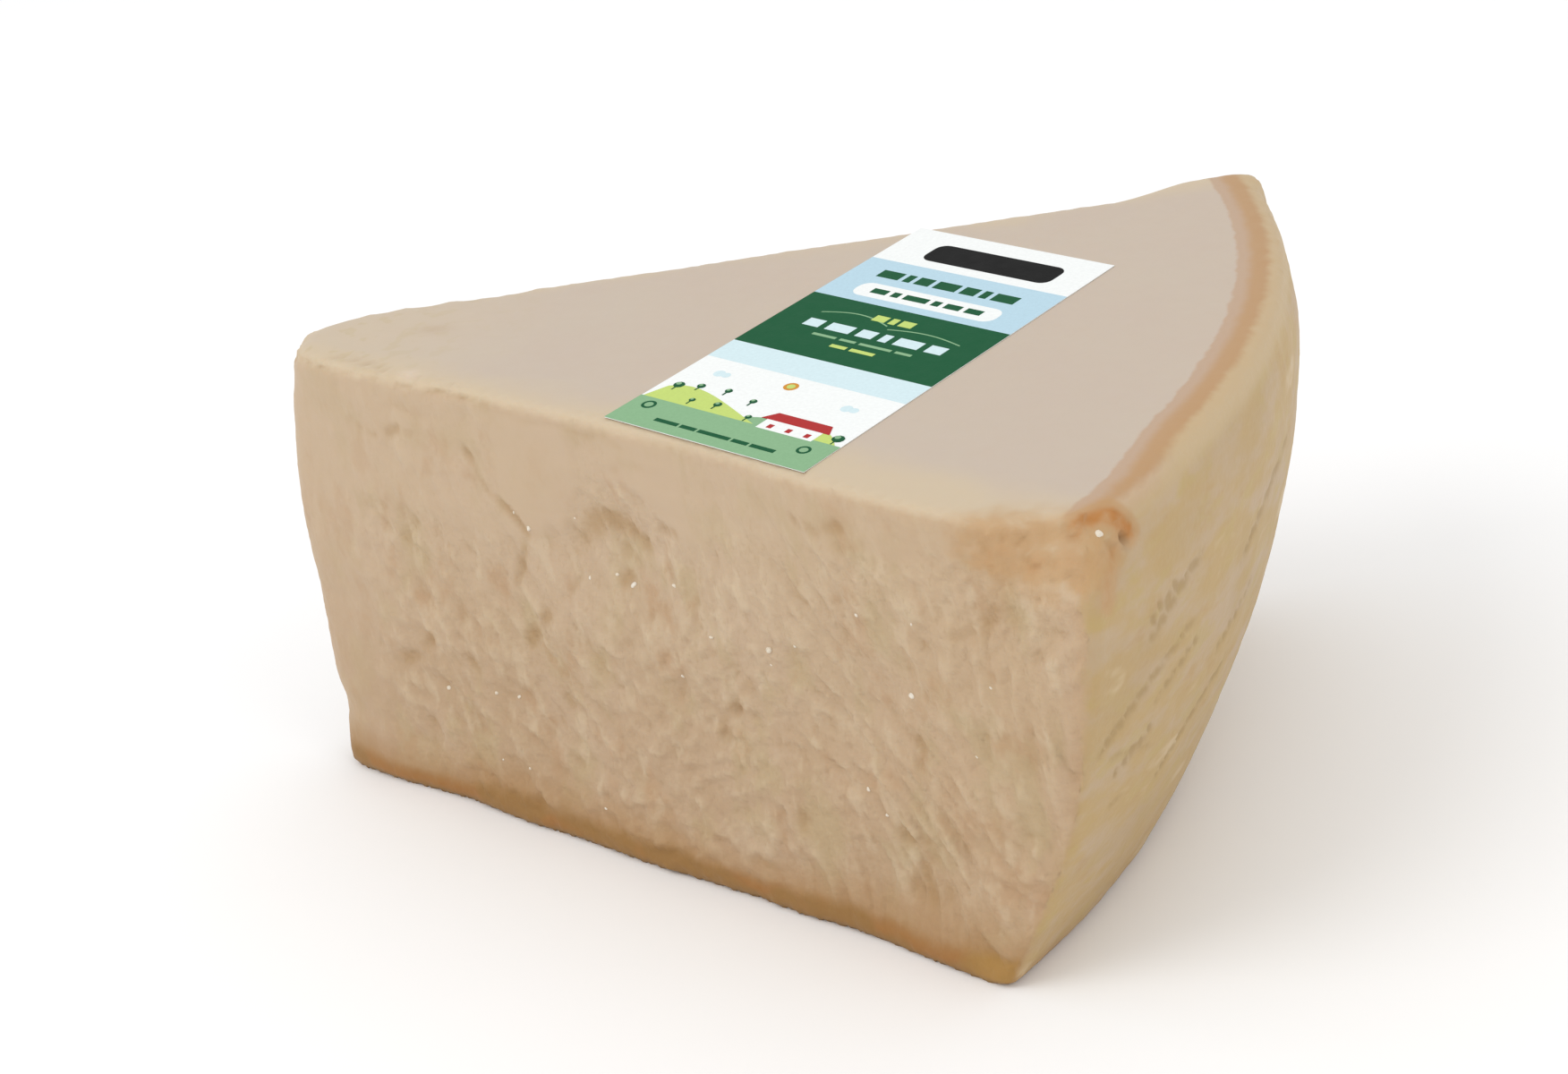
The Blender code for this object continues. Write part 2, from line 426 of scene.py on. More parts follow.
# Lower end of the knife's cut on the front face: distance from the wheel's axis, height
KNIFE_ALONG = np.array((0.0, 29, 60, 83, 97, 104, 116, 130, 140, 159, 189, 230)) * MM
KNIFE_LEVEL = np.array((64.0, 66, 66, 65, 67, 79, 79, 72, 78, 82, 84, 84)) * MM
# Stretches where the knife left the paste quite smooth: from and to, and how rough the rest stays
KNIFE_CALM = ((0.0825, 0.1030), (0.1130, 0.1310))
KNIFE_ROUGH = 0.45

# Dark patches of the front face, a little sunk: distance, height, reach along, reach up, strength
STAINS = (
    (0.1105, 0.0742, 0.0068, 0.0030, 0.70),
    (0.1260, 0.0752, 0.0085, 0.0022, 0.50),
    (0.0600, 0.0838, 0.0075, 0.0016, 0.40),
    (0.0770, 0.0770, 0.0050, 0.0026, 0.35),
    (0.1520, 0.0615, 0.0060, 0.0022, 0.35),
    (0.1780, 0.0245, 0.0045, 0.0055, 0.45),
    (0.1765, 0.0140, 0.0065, 0.0040, 0.80),
    (0.1885, 0.0060, 0.0080, 0.0050, 0.85),
    (0.2030, 0.0780, 0.0060, 0.0055, 0.50),
    (0.2045, 0.0490, 0.0050, 0.0065, 0.40),
    (0.1360, 0.0095, 0.0075, 0.0025, 0.50),
    (0.0640, 0.0085, 0.0110, 0.0020, 0.45),
)
STAIN_DEPTH = 0.0007
# Brown seams between the nodules: distance and height of each seam's points, its width and strength
STAIN_PATHS = (
    (
        (
            (0.0741, 0.0822),
            (0.0792, 0.0750),
            (0.0860, 0.0704),
            (0.0881, 0.0675),
            (0.0851, 0.0613),
            (0.0821, 0.0560),
        ),
        0.0013,
        0.60,
    ),
    (((0.1015, 0.0692), (0.1070, 0.0735), (0.1132, 0.0736), (0.1164, 0.0709)), 0.0030, 0.80),
    (((0.1112, 0.0675), (0.1144, 0.0651), (0.1106, 0.0613)), 0.0020, 0.60),
    (((0.0899, 0.0512), (0.0849, 0.0460), (0.0811, 0.0423)), 0.0020, 0.65),
    (((0.0433, 0.0303), (0.0509, 0.0340), (0.0545, 0.0385)), 0.0020, 0.60),
    (((0.0990, 0.0658), (0.0999, 0.0607), (0.0954, 0.0558)), 0.0012, 0.50),
    (((0.0424, 0.0835), (0.0513, 0.0817), (0.0565, 0.0843)), 0.0020, 0.45),
    (((0.1612, 0.0867), (0.1661, 0.0855), (0.1713, 0.0872)), 0.0018, 0.60),
    (((0.1404, 0.0482), (0.1350, 0.0410), (0.1290, 0.0320)), 0.0024, 0.45),
    (((0.1791, 0.0476), (0.1794, 0.0405)), 0.0020, 0.55),
    (((0.1739, 0.0251), (0.1791, 0.0246), (0.1762, 0.0166), (0.1804, 0.0149)), 0.0024, 0.70),
    (((0.1915, 0.0679), (0.1985, 0.0737), (0.2064, 0.0787)), 0.0034, 0.45),
    (((0.1495, 0.0303), (0.1494, 0.0201)), 0.0018, 0.45),
)
# One on the top: middle and reach in the wheel's frame, strength
TOP_STAIN = ((0.0516, 0.0026, 0.0950), (0.0040, 0.0022, 0.0100), 0.45)

# Creases of the crumbled front top edge: distance from the axis and place across the edge (below zero on the
# front face, above zero on the top) of both ends, depth
EDGE_CREASES = (
    (0.0360, 0.0036, 0.0570, 0.0010, 0.00045),
    (0.0640, -0.0030, 0.0920, -0.0032, 0.00022),
    (0.0920, -0.0034, 0.1190, -0.0052, 0.00018),
    (0.1120, -0.0090, 0.1270, -0.0078, 0.00014),
    (0.0560, -0.0056, 0.0640, -0.0068, 0.00030),
)
CREASE_WIDTH = 0.0009
# A light bead of paste on that edge: distance, place across, reach both ways, height
EDGE_BEAD = (0.0600, 0.0026, 0.0030, 0.0018, 0.0006)
# The creases and the bead stay this close to the front cut
EDGE_REACH = 0.02

# The broken corner of the rind: points of each stain in the wheel's frame, its width and strength
CHIP_PATHS = (
    (
        (
            (0.2002, -0.0812, 0.0930),
            (0.2026, -0.0784, 0.0942),
            (0.2052, -0.0750, 0.0928),
            (0.2074, -0.0724, 0.0888),
        ),
        0.0023,
        1.0,
    ),
    (((0.2060, -0.0776, 0.0875), (0.2046, -0.0806, 0.0830), (0.2042, -0.0814, 0.0805)), 0.0026, 0.50),
    (((0.1860, -0.0830, 0.0900), (0.2010, -0.0815, 0.0880)), 0.0078, 0.36),
)
# The hole in it: middle, reach and depth
CHIP_PIT = ((0.2068, -0.0742, 0.0880), (0.0012, 0.0013, 0.0012), 0.0015)

# Marks on the rind: arc from the chunk's middle and height of both ends, depth
RIND_GROOVES = (
    (-0.0840, 0.0500, -0.0510, 0.0625, 0.00032),
    (-0.0795, 0.0476, -0.0600, 0.0402, 0.00018),
    (-0.0770, 0.0342, -0.0680, 0.0360, 0.00020),
    (-0.0700, 0.0660, -0.0500, 0.0745, 0.00040),
    (-0.0560, 0.0300, -0.0250, 0.0420, 0.00040),
    (-0.0300, 0.0620, 0.0050, 0.0720, 0.00040),
    (0.0100, 0.0250, 0.0420, 0.0370, 0.00044),
    (0.0250, 0.0560, 0.0640, 0.0700, 0.00040),
)
GROOVE_WIDTH = 0.0008
# Rows of pricks left by the mould: arc and height of the first, number in the row
PRICK_ROWS = (
    (-0.0755, 0.0430, 5),
    (-0.0690, 0.0705, 4),
    (-0.0640, 0.0525, 6),
    (-0.0350, 0.0480, 7),
    (-0.0050, 0.0380, 6),
    (0.0280, 0.0460, 8),
)
PRICK_STEP = Vector((0.0026, 0.0009))
PRICK_RADIUS = 0.0009
PRICK_DEPTH = 0.0005

# The grain of the split faces: its slope, and how far it is drawn out along it
SPLIT_TURN = math.radians(-50)
SPLIT_STRETCH = 1.4
# Relief from the lowest hollow to the highest crest that the finish tells apart; the finish paints shade into
# the hollows and highlight onto the crests
RELIEF_SPAN = 0.0020
# Vertices below this height belong to the flat base
BASE_SKIN = 0.0004


class Surface:
    """The vertices in the wheel's frame, with what the marks are placed by and a mask of each side."""

    def __init__(self, mesh):
        count = len(mesh.vertices)
        places = np.empty(count * 3, np.float32)
        normals = np.empty(count * 3, np.float32)
        mesh.vertices.foreach_get("co", places)
        mesh.vertices.foreach_get("normal", normals)
        self.places = places.reshape(-1, 3).astype(float) - np.array(WHEEL_AXIS)
        self.normals = normals.reshape(-1, 3).astype(float)
        self.level = self.places[:, 2]
        self.radius = np.hypot(self.places[:, 0], self.places[:, 1])
        self.arc = np.arctan2(self.places[:, 1], self.places[:, 0]) * WHEEL_RADIUS
        self.radial = self.places[:, :2] / self.radius[:, None]
        self.outs = {side: np.array(cut_direction(side))[:2] for side in (-1, 1)}
        self.inward = self.places[:, 0] * math.sin(HALF_ANGLE) + self.places[:, 1] * math.cos(HALF_ANGLE)
        self.around = self.inward - (HEIGHT - self.level)
        self.waver = 0.0045 * lumps(self.places, 0.013, 3, 6.6)

        upward = self.normals[:, 2]
        flat = self.normals[:, :2]
        self.top = smoothstep(0.55, 0.95, upward)
        facing_out = smoothstep(0.55, 0.9, (flat * self.radial).sum(axis=1))
        self.heel = facing_out * smoothstep(0.15, 0.17, self.radius)
        turned = {side: smoothstep(0.30, 0.75, flat @ out) for side, out in self.outs.items()}
        self.face = {side: share * (1 - self.heel) for side, share in turned.items()}
        self.edge = smoothstep(0.15, 0.5, upward) * (1 - smoothstep(0.9, 0.995, upward))


def face_places(places, side):
    """Places of a split face by distance along it, height and depth, drawn out along the grain."""
    along = places[:, 0] * math.cos(HALF_ANGLE) + side * places[:, 1] * math.sin(HALF_ANGLE)
    depth = places[:, 1] * math.cos(HALF_ANGLE) - side * places[:, 0] * math.sin(HALF_ANGLE)
    level = places[:, 2]
    turn = SPLIT_TURN + 0.22 * lumps(places, 0.05, 1, 2.0)
    run = along * np.cos(turn) + level * np.sin(turn)
    cross = level * np.cos(turn) - along * np.sin(turn)
    return np.stack((run / SPLIT_STRETCH, cross, depth + 0.5 * side), axis=1)


def split_relief(places, side, look):
    """Flakes and grains of a split face, each in metres about zero."""
    drawn = face_places(places, side)
    broad = lumps(drawn, 0.0062, 2, 3.1)
    steps = terraces(2.4 * lumps(drawn, 0.011, 3, 8.4), 0.22) / 2.4
    shards = terraces(2.2 * lumps(drawn, 0.0036, 2, 4.4), 0.4) / 2.2
    patchy = smoothstep(-0.5, 0.4, lumps(places, 0.019, 2, 5.0))
    jostled = places + 0.0007 * lumps(places, 0.003, 1, 1.0)[:, None]
    grain = grains(jostled, look.grain_size, 1.3) - 0.7
    small = grains(drawn, 0.55 * look.grain_size, 6.3) - 0.7
    fine = lumps(drawn, 0.0015, 2, 2.2)
    flakes = look.split_depth * (0.60 * broad + 0.55 * steps + 0.38 * shards)
    nodules = look.grain_depth * ((0.3 + 0.7 * patchy) * grain + 0.42 * small + 0.20 * fine)
    return flakes, nodules + 0.35 * look.split_depth * shards


def groove(run_at, rise_at, ends, width, depth):
    """A slightly bowed groove between two places of a surface."""
    run_from, rise_from, run_to, rise_to = ends
    step = np.array((run_to - run_from, rise_to - rise_from))
    length = np.hypot(*step)
    step /= length
    reach = (run_at - run_from) * step[0] + (rise_at - rise_from) * step[1]
    across = (rise_at - rise_from) * step[0] - (run_at - run_from) * step[1]
    bow = 0.05 * length * np.sin(math.pi * reach / length)
    fade = smoothstep(-0.002, 0.004, reach) * (1 - smoothstep(length - 0.005, length + 0.002, reach))
    return depth * fade * np.exp(-(((across - bow) / width) ** 2))


def rind_marks(arc, level):
    """Depth of the mould's creases and pricks on the rind."""
    depth = np.zeros_like(arc)
    for *ends, deepest in RIND_GROOVES:
        depth += groove(arc, level, ends, GROOVE_WIDTH, deepest)
    for arc_from, level_from, count in PRICK_ROWS:
        for i in range(count):
            away = (arc - arc_from - i * PRICK_STEP.x) ** 2 + (level - level_from - i * PRICK_STEP.y) ** 2
            depth += PRICK_DEPTH * np.exp(-away / PRICK_RADIUS**2)
    return depth


def path_distance(places, points):
    """Distance from each place to a path of straight runs."""
    nearest = np.full(len(places), np.inf)
    for start, end in zip(np.array(points[:-1]), np.array(points[1:])):
        run = end - start
        share = np.clip((places - start) @ run / (run @ run), 0.0, 1.0)
        nearest = np.minimum(nearest, np.linalg.norm(places - start - share[:, None] * run, axis=1))
    return nearest


def spot(places, centre, reach):
    """1 at a place in space, fading to 0 at about its reach along each axis."""
    return np.exp(-1.2 * (((places - np.array(centre)) / np.array(reach)) ** 2).sum(axis=1))


def split_roughness(surface):
    """How roughly each cut broke at each place: the knife left the upper part and the tip smoother."""
    radius, level, waver = surface.radius, surface.level, surface.waver
    above = smoothstep(-0.001, 0.0035, level - np.interp(radius, KNIFE_ALONG, KNIFE_LEVEL) - waver)
    calm = np.zeros(len(level))
    for calm_from, calm_to in KNIFE_CALM:
        ends = smoothstep(-0.0015, 0.0015, radius + 0.6 * waver - calm_from)
        calm = np.maximum(calm, ends * smoothstep(-0.0015, 0.0015, calm_to - radius - 0.6 * waver))
    past_tip = 0.30 + 0.70 * smoothstep(0.034, 0.060, radius + 1.2 * waver + 0.10 * (HEIGHT - level))
    past_base = 0.35 + 0.65 * smoothstep(0.001, 0.008, level)
    front = 1 - above * (1 - KNIFE_ROUGH * (1 - 0.9 * calm))
    back = 1 - 0.8 * smoothstep(-0.001, 0.004, level - 0.078 - 2.2 * waver)
    return {-1: front * past_tip * past_base, 1: back * past_tip * past_base}


def stain_mask(surface):
    """Dark patches and brown seams of the front face, from 0 to 1."""
    ragged = 0.95 + 0.9 * lumps(face_places(surface.places, -1), 0.0034, 3, 9.0)
    stain = np.zeros(len(surface.level))
    for along, height, reach, rise, strength in STAINS:
        patch = strength * blob(surface.radius, surface.level, along, height, reach, rise)
        stain = np.maximum(stain, patch * ragged)
    flat_places = np.stack((surface.radius, surface.level), axis=1)
    for points, width, strength in STAIN_PATHS:
        seam = np.exp(-((path_distance(flat_places, points) / width) ** 2))
        stain = np.maximum(stain, strength * seam * ragged)
    return smoothstep(0.08, 0.95, stain) * surface.face[-1]


def edge_creases(surface):
    """Depth of the creases along the front's top edge."""
    crease = np.zeros(len(surface.level))
    uneven = 1 + 0.8 * lumps(surface.places, 0.004, 2, 3.0)
    for *ends, depth in EDGE_CREASES:
        across = surface.around + 0.35 * surface.waver
        crease += groove(surface.radius, across, ends, CREASE_WIDTH, depth) * uneven
    near_edge = smoothstep(0.1, 0.5, surface.face[-1] + surface.edge + surface.top)
    return np.maximum(crease, 0.0) * near_edge * (surface.inward < EDGE_REACH)


def crumbled_edge(surface):
    """How far the rounded top edge crumbled, most of all round the tip."""
    tip_wear = 1 - smoothstep(0.065, 0.095, surface.radius)
    crumbly = surface.edge * (0.35 + 0.65 * tip_wear) * (1 - 0.7 * surface.heel)
    return 0.0008 * crumbly * (lumps(surface.places, 0.0042, 3, 7.7) - 0.35)


def chip_mask(places):
    """The stained corner where the rind broke, from 0 to 1."""
    chip = np.zeros(len(places))
    for points, width, strength in CHIP_PATHS:
        chip = np.maximum(chip, strength * np.exp(-((path_distance(places, points) / width) ** 2)))
    return np.clip(chip * (1.05 + 0.55 * lumps(places, 0.0026, 3, 11.0)), 0.0, 1.0)


def shape_cheese(mesh, look):
    """Moves the vertices into the cheese's true surface and keeps a mask of each finish on them."""
    surface = Surface(mesh)
    places, level, face, heel = surface.places, surface.level, surface.face, surface.heel
    rough = split_roughness(surface)
    relief = np.zeros(len(places))
    move = np.zeros_like(places)

    drag = lumps(places * np.array((0.3, 0.3, 2.4)), 0.006, 2, 4.0) + 1.2 * lumps(places, 0.010, 2, 1.0)
    for side, out in surface.outs.items():
        smooth = 1 - rough[side]
        flakes, nodules = split_relief(places, side, look)
        sunk = 0.0005 * rough[side]
        shaped = rough[side] * (flakes + nodules) + smooth * (0.00014 * drag + 0.08 * flakes) - sunk
        relief += face[side] * (rough[side] * (0.35 * flakes + nodules) + smooth * 0.00008 * drag)
        move[:, :2] += (face[side] * shaped)[:, None] * out

    stain = stain_mask(surface)
    move[:, :2] -= (STAIN_DEPTH * stain)[:, None] * surface.outs[-1]
    centre, reach, strength = TOP_STAIN
    stain = np.maximum(stain, strength * spot(places, centre, reach))

    crease = edge_creases(surface)
    along, across, reach, rise, height = EDGE_BEAD
    bead = blob(surface.radius, surface.around, along, across, reach, rise) * (surface.inward < EDGE_REACH)
    worn = crumbled_edge(surface) - crease + height * bead

    chip = chip_mask(places)
    centre, reach, depth = CHIP_PIT
    pit = spot(places, centre, reach)
    crumbs = lumps(places, 0.0030, 3, 11.5) + grains(places, 0.0026, 2.0) - 1.1
    broken = 0.0007 * smoothstep(0.1, 0.5, chip) * crumbs
    worn_all = worn + broken - depth * pit
    move += worn_all[:, None] * surface.normals

    cloth = lumps(places * np.array((1, 1, 0.6)), 0.011, 3, 12.0)
    skin = 0.00026 * cloth + 0.00007 * lumps(places, 0.0022, 2, 13.0)
    marks = rind_marks(surface.arc, level)
    move[:, :2] += (heel * (skin - marks))[:, None] * surface.radial
    relief += heel * (0.8 * skin - 3.0 * marks) + worn_all

    moved = places + move + np.array(WHEEL_AXIS)
    moved = np.clip(moved, np.array(CHEESE_LOW), np.array(CHEESE_HIGH))
    moved[level < BASE_SKIN, 2] = 0.0
    mesh.vertices.foreach_set("co", moved.astype(np.float32).ravel())
    store_masks(mesh, {
        "rough": np.maximum(rough[-1] * face[-1], rough[1] * face[1]),
        "relief": np.clip(0.5 + relief / RELIEF_SPAN, 0.0, 1.0),
        "top": surface.top,
        "edge": surface.edge,
        "heel": heel,
        "stain": np.clip(stain + 700 * crease, 0.0, 1.0),
        "pale": bead,
        "chip": chip,
        "pit": pit,
    })


def store_masks(mesh, masks):
    for name, values in masks.items():
        layer = mesh.attributes.new(name, "FLOAT", "POINT")
        layer.data.foreach_set("value", np.asarray(values, np.float32))


def refine(mesh):
    """Halves the facets of both split faces, and makes the flat base one face."""
    outs = [cut_direction(side) for side in (-1, 1)]
    bm = bmesh.new()
    bm.from_mesh(mesh)
    flat = [face for face in bm.faces if face.normal.z < -0.99]
    bmesh.ops.dissolve_faces(bm, faces=flat, use_verts=True)
    upright = [face for face in bm.faces if abs(face.normal.z) < 0.8]
    split = [face for face in upright if max(face.normal.dot(out) for out in outs) > 0.45]
    edges = {edge for face in split for edge in face.edges}
    bmesh.ops.subdivide_edges(bm, edges=list(edges), cuts=1, use_grid_fill=True)
    bm.to_mesh(mesh)
    bm.free()


def remesh(source, name, step):
    """A copy of a solid with even facets all over and its sharp corners eased."""
    copy = link_object(bpy.data.objects.new(name, source.data.copy()))
    copy.data.materials.clear()
    modifier = copy.modifiers.new("Even facets", "REMESH")
    modifier.mode = "VOXEL"
    modifier.voxel_size = step
    soften = copy.modifiers.new("Soft edges", "SMOOTH")
    soften.factor = 0.5
    soften.iterations = 4
    graph = bpy.context.evaluated_depsgraph_get()
    mesh = bpy.data.meshes.new_from_object(copy.evaluated_get(graph))
    copy.modifiers.clear()
    copy.data = mesh
    mesh.name = name
    refine(mesh)
    mesh.shade_smooth()
    return copy


# ---------------------------------------------------------------- the cheese's finish


def wheel_places(shader):
    """Radius, height, depth under the rind and depths behind both cuts, as node outputs."""
    shift = shader.node("ShaderNodeVectorMath", operation="SUBTRACT")
    shader.feed(shift.inputs[0], shader.position())
    shift.inputs[1].default_value = WHEEL_AXIS
    parts = shader.node("ShaderNodeSeparateXYZ")
    shader.feed(parts.inputs[0], shift.outputs[0])
    x, y, z = parts.outputs
    radius = shader.math("SQRT", shader.math("MULTIPLY_ADD", x, x, shader.math("MULTIPLY", y, y)))
    fall = shader.math("DIVIDE", shader.math("SUBTRACT", WIDEST_LEVEL, z), WIDEST_LEVEL)
    below = shader.math("MAXIMUM", fall, 0.0)
    barrel = shader.math("MULTIPLY", shader.math("POWER", below, BARREL_POWER), BARREL_DROP)
    rise = shader.math("DIVIDE", shader.math("SUBTRACT", z, WIDEST_LEVEL), HEIGHT - WIDEST_LEVEL)
    above = shader.math("POWER", shader.math("MAXIMUM", rise, 0.0), 2.0)
    shoulder = shader.math("MULTIPLY", above, SHOULDER_DROP)
    skin = shader.math("SUBTRACT", shader.math("SUBTRACT", WHEEL_RADIUS, barrel), shoulder)
    depth = shader.math("SUBTRACT", skin, radius)
    inward = shader.math("MULTIPLY", x, math.sin(HALF_ANGLE))
    front = shader.math("MULTIPLY_ADD", y, math.cos(HALF_ANGLE), inward)
    back = shader.math("MULTIPLY_ADD", y, -math.cos(HALF_ANGLE), inward)
    return {"radius": radius, "y": y, "level": z, "rind": depth, "front": front, "back": back}


# Shades that the finish blends with the colours set by the user
PALE_PASTE = (0.52, 0.385, 0.27, 1.0)
WARM_PASTE = (0.47, 0.315, 0.172, 1.0)
OLIVE_PASTE = (0.440, 0.330, 0.185, 1.0)
RUSTY_PASTE = (0.425, 0.265, 0.145, 1.0)
DARK_GRAIN = (0.385, 0.26, 0.145, 1.0)
PINKISH_TOP = (0.50, 0.40, 0.325, 1.0)
CREAMY_TOP = (0.555, 0.445, 0.302, 1.0)
SPECKED_TOP = (0.47, 0.37, 0.20, 1.0)
PALE_BEAD = (0.63, 0.51, 0.42, 1.0)
BLUSH = (0.455, 0.305, 0.20, 1.0)
# Painted highlight along the rounded top edge of the rind
RIM_HIGHLIGHT = (0.51, 0.385, 0.225, 1.0)
PINKISH_SKIN = (0.46, 0.335, 0.205, 1.0)
YELLOW_SKIN = (0.445, 0.325, 0.125, 1.0)
RUSTY_SKIN = (0.42, 0.26, 0.11, 1.0)
SHADED_SKIN = (0.410, 0.285, 0.145, 1.0)
LIGHT_SKIN = (0.53, 0.40, 0.235, 1.0)
# Painted shade in the mould's marks and pricks, tinted yellow-brown
SUNK_SKIN_SHADE = (0.33, 0.215, 0.08, 1.0)
# Painted highlight along the rind's top shoulder
SHOULDER_HIGHLIGHT = (0.50, 0.375, 0.20, 1.0)
# Darker paste towards the base
DARKER_TOWARDS_BASE = (0.355, 0.200, 0.082, 1.0)
# The dried rind band along the base; its darkness is partly painted shade
DRIED = (0.275, 0.143, 0.038, 1.0)
DRIED_CORNER = (0.355, 0.195, 0.048, 1.0)
ORANGE_SEAM = (0.345, 0.150, 0.040, 1.0)
TAN_CHIP = (0.46, 0.275, 0.125, 1.0)
# Painted shade in the pit of the broken corner
PIT_SHADE = (0.20, 0.095, 0.03, 1.0)
CLEAR_CRYSTAL = (0.76, 0.71, 0.62, 1.0)
CLOUDY_CRYSTAL = (0.66, 0.57, 0.43, 1.0)


class CheeseShader(Shader):
    """The shader helper with the masks, places and patterns that the cheese's layers share."""

    def __init__(self, tree):
        super().__init__(tree)
        self.place = self.position()
        self.wheel = wheel_places(self)
        for mask in ("rough", "relief", "top", "edge", "heel", "stain", "pale", "chip", "pit"):
            setattr(self, mask, self.attribute(mask))
        mottle = self.group(mottle_group(), vector=self.place, patch_size=0.018, contrast=2.2)
        self.broad, self.fine = mottle.outputs["Broad"], mottle.outputs["Fine"]
        streaky = self.stretched(self.place, (0.0, 0.9, 0.0), (1.0, 1.0, 0.45))
        self.streak = self.group(mottle_group(), vector=streaky, patch_size=0.0042, contrast=2.4)
        self.wavy = self.share(self.math("SUBTRACT", self.broad, 0.5), 0.006)
        self.wispy = self.share(self.math("SUBTRACT", self.fine, 0.5), 0.0009)
        # Painted shade: darker where the relief sinks into hollows
        self.hollow_shade = self.share(self.step(0.50, 0.10, self.relief), 0.65)

    def by_roughness(self, value, gain, least=0.0):
        """A pattern that grows stronger where the paste is rough."""
        return self.math("MULTIPLY", value, self.math("MULTIPLY_ADD", self.rough, gain, least))


def split_paste(cheese, look):
    """Split paste: darker towards the base, patched, with painted highlight on the relief's crests and
    painted shade in its hollows.
    """
    low = cheese.step(0.088, 0.010, cheese.wheel["level"])
    paste = cheese.mix(low, rgba(look.paste_colour), rgba(look.deep_colour))
    paste = cheese.mix(cheese.share(cheese.broad, 0.45), paste, PALE_PASTE)
    warm = cheese.share(cheese.step(0.135, 0.215, cheese.wheel["radius"]), 0.40)
    paste = cheese.mix(warm, paste, WARM_PASTE)
    slant = cheese.stretched(cheese.place, (0.0, 0.9, 0.0), (1.0, 1.0, 0.6))
    olive = cheese.step(0.50, 0.66, cheese.noise(slant, 0.0105, 3.0, 0.55))
    paste = cheese.mix(cheese.by_roughness(olive, 0.42, 0.18), paste, OLIVE_PASTE)
    turned = cheese.stretched(slant, (0.3, 0.0, 0.4), (1.0, 1.0, 1.0))
    rusty = cheese.step(0.54, 0.70, cheese.noise(turned, 0.0085, 3.0, 0.6))
    paste = cheese.mix(cheese.by_roughness(rusty, 0.46, 0.14), paste, RUSTY_PASTE)
    # Painted highlight: cream on the relief's crests
    crest = cheese.share(cheese.step(0.52, 0.90, cheese.relief), 0.45)
    paste = cheese.mix(crest, paste, rgba(look.cream_colour))
    # Painted shade in the relief's hollows
    paste = cheese.mix(cheese.hollow_shade, paste, rgba(look.ochre_colour))
    speck = cheese.step(0.60, 0.95, cheese.streak.outputs["Broad"])
    paste = cheese.mix(cheese.by_roughness(speck, 0.30), paste, rgba(look.cream_colour))
    dark = cheese.step(0.34, 0.02, cheese.streak.outputs["Fine"])
    return cheese.mix(cheese.by_roughness(dark, 0.24), paste, DARK_GRAIN)


def cut_top(cheese, look):
    """The smooth top: pinkish, creamier along both cuts and towards the tip."""
    flat = cheese.mix(cheese.share(cheese.broad, 0.5), rgba(look.top_colour), PINKISH_TOP)
    border = cheese.math("MINIMUM", cheese.wheel["front"], cheese.math("ADD", cheese.wheel["back"], 0.004))
    near = cheese.step(0.013, 0.000, cheese.math("ADD", border, cheese.wavy))
    tip = cheese.share(cheese.step(0.085, 0.030, cheese.wheel["radius"]), 0.6)
    flat = cheese.mix(cheese.share(cheese.math("MAXIMUM", near, tip), 0.85), flat, CREAMY_TOP)
    specks = cheese.math("MULTIPLY", cheese.step(0.60, 0.80, cheese.streak.outputs["Broad"]), tip)
    return cheese.mix(cheese.share(specks, 0.6), flat, SPECKED_TOP)


def stains_and_edges(cheese, look, colour):
    """Ochre stains and creases, the light bead, and a painted highlight on the cuts' rounded edges."""
    colour = cheese.mix(cheese.share(cheese.stain, 0.66), colour, rgba(look.ochre_colour))
    colour = cheese.mix(cheese.share(cheese.pale, 0.8), colour, PALE_BEAD)
    # Painted highlight: cream along the rounded edges, less where stained
    edge_highlight = cheese.math("MULTIPLY", cheese.edge, cheese.math("MULTIPLY_ADD", cheese.stain, -0.5, 0.5))
    return cheese.mix(edge_highlight, colour, rgba(look.cream_colour))


def cut_rind(cheese, look, colour):
    """The rind where the cuts cross it: pinkish, then golden tan, then a painted highlight along the rounded
    edge at the skin.
    """
    narrowing = cheese.share(cheese.step(-0.042, -0.072, cheese.wheel["y"]), 0.0038)
    depth = cheese.math("ADD", cheese.math("ADD", cheese.wheel["rind"], cheese.wispy), narrowing)
    strength = cheese.math("MULTIPLY_ADD", cheese.top, 0.70, 0.22)
    blush = cheese.math("MULTIPLY", cheese.step(0.0089, 0.0080, depth), strength)
    colour = cheese.mix(cheese.share(blush, 0.95), colour, BLUSH)
    golden = cheese.math("MULTIPLY", cheese.step(0.0072, 0.0046, depth), strength)
    colour = cheese.mix(golden, colour, rgba(look.band_colour))
    # Painted highlight along the rounded edge at the skin
    pale = cheese.share(cheese.step(0.0034, 0.0014, depth), 0.85)
    return cheese.mix(pale, colour, RIM_HIGHLIGHT)


